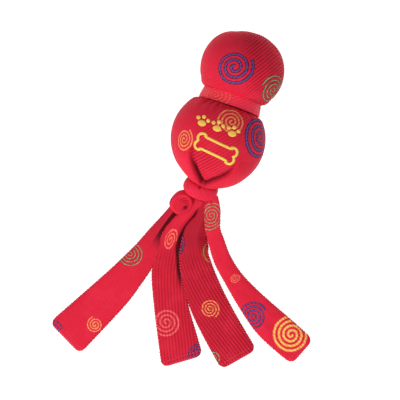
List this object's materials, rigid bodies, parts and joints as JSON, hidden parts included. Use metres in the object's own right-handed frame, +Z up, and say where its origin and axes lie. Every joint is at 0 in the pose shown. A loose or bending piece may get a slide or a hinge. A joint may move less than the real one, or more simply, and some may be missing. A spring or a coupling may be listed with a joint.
{
  "type": "cloth tug and toss dog toy",
  "caption": "Cloth-covered tug toy for dogs: a ball head, a neck band, a larger squeaking ball body, a knot and flat two-ply tails that lift and fold.",
  "frame": {"origin": "on the table, under the middle of the toy's box", "axes": "+Z up from the table, +Y along the spine from the tails to the head, +X to the right seen from above with the head away"},
  "size_m": [0.2096, 0.3054, 0.0818],
  "materials": {
    "ribbed_cloth": "ribbed woven cloth, matte with a faint sheen",
    "neck_cloth": "tightly folded ribbed cloth, slightly shiny",
    "lining_cloth": "plain woven cloth",
    "seam_thread": "twisted polyester thread",
    "embroidery_thread": "satin-stitched thread",
    "core_rubber": "moulded rubber",
    "ball_felt": "napped felt",
    "felt_seam_rubber": "smooth rubber bead",
    "squeaker_rubber": "soft moulded rubber",
    "squeaker_plastic": "moulded plastic",
    "reed_plastic": "thin springy plastic"
  },
  "bodies": {
    "torso": {"torso_panel_front": "ribbed_cloth", "torso_panel_back": "ribbed_cloth", "torso_lining": "lining_cloth", "torso_seam_thread": "seam_thread", "torso_flap_left": "ribbed_cloth", "torso_flap_right": "ribbed_cloth", "squeaker_ball": "squeaker_rubber", "squeaker_cup": "squeaker_plastic", "squeaker_lid": "squeaker_plastic", "squeaker_reed": "reed_plastic", "squeaker_reed_holder": "squeaker_plastic", "embroidered_bone": "embroidery_thread", "embroidered_paws": "embroidery_thread", "knot_bundle": "ribbed_cloth", "knot_wrap": "ribbed_cloth", "knot_fan": "ribbed_cloth"},
    "neck": {"neck_collar": "neck_cloth", "neck_collar_lap": "neck_cloth"},
    "head": {"head_ball_core": "core_rubber", "head_ball_seam": "felt_seam_rubber", "head_ball_felt_lower": "ball_felt", "head_ball_felt_upper": "ball_felt", "head_panel_front": "ribbed_cloth", "head_panel_back": "ribbed_cloth", "head_seam_thread": "seam_thread"},
    "tail_1_upper": {"tail_1_upper_face": "ribbed_cloth", "tail_1_upper_back": "ribbed_cloth"},
    "tail_1_lower": {"tail_1_lower_face": "ribbed_cloth", "tail_1_lower_back": "ribbed_cloth", "tail_1_hem_stitches": "seam_thread"},
    "tail_2_upper": {"tail_2_upper_face": "ribbed_cloth", "tail_2_upper_back": "ribbed_cloth"},
    "tail_2_lower": {"tail_2_lower_face": "ribbed_cloth", "tail_2_lower_back": "ribbed_cloth", "tail_2_hem_stitches": "seam_thread"},
    "tail_3_upper": {"tail_3_upper_face": "ribbed_cloth", "tail_3_upper_back": "ribbed_cloth"},
    "tail_3_lower": {"tail_3_lower_face": "ribbed_cloth", "tail_3_lower_back": "ribbed_cloth", "tail_3_hem_stitches": "seam_thread"},
    "tail_4_upper": {"tail_4_upper_face": "ribbed_cloth", "tail_4_upper_back": "ribbed_cloth"},
    "tail_4_lower": {"tail_4_lower_face": "ribbed_cloth", "tail_4_lower_back": "ribbed_cloth", "tail_4_hem_stitches": "seam_thread"}
  },
  "joints": [
    {"name": "neck_bend", "type": "hinge", "parent": "torso", "child": "neck", "pos_m": [-0.02563, 0.08836, 0.03833], "axis": [0, 0, 1], "range_deg": [-15, 15], "deforming": ["neck_collar", "neck_collar_lap"]},
    {"name": "neck_nod", "type": "hinge", "parent": "neck", "child": "head", "pos_m": [-0.02563, 0.08836, 0.03833], "axis": [1, 0, 0], "range_deg": [-15, 15], "deforming": ["neck_collar", "neck_collar_lap"]},
    {"name": "tail_1_lift", "type": "hinge", "parent": "torso", "child": "tail_1_upper", "pos_m": [-0.02563, -0.00417, 0.0189], "axis": [-1, 0, 0], "range_deg": [0, 90]},
    {"name": "tail_1_fold", "type": "hinge", "parent": "tail_1_upper", "child": "tail_1_lower", "pos_m": [-0.02563, -0.05017, 0.0019], "axis": [-1, 0, 0], "range_deg": [0, 60]},
    {"name": "tail_2_lift", "type": "hinge", "parent": "torso", "child": "tail_2_upper", "pos_m": [-0.02563, -0.00417, 0.0189], "axis": [-1, 0, 0], "range_deg": [0, 90]},
    {"name": "tail_2_fold", "type": "hinge", "parent": "tail_2_upper", "child": "tail_2_lower", "pos_m": [-0.02563, -0.05017, 0.0019], "axis": [-1, 0, 0], "range_deg": [0, 60]},
    {"name": "tail_3_lift", "type": "hinge", "parent": "torso", "child": "tail_3_upper", "pos_m": [-0.02563, -0.00417, 0.0189], "axis": [-1, 0, 0], "range_deg": [0, 90]},
    {"name": "tail_3_fold", "type": "hinge", "parent": "tail_3_upper", "child": "tail_3_lower", "pos_m": [-0.02563, -0.05017, 0.0019], "axis": [-1, 0, 0], "range_deg": [0, 60]},
    {"name": "tail_4_lift", "type": "hinge", "parent": "torso", "child": "tail_4_upper", "pos_m": [-0.02563, -0.00417, 0.0189], "axis": [-1, 0, 0], "range_deg": [0, 90]},
    {"name": "tail_4_fold", "type": "hinge", "parent": "tail_4_upper", "child": "tail_4_lower", "pos_m": [-0.02563, -0.05017, 0.0019], "axis": [-1, 0, 0], "range_deg": [0, 60]}
  ]
}
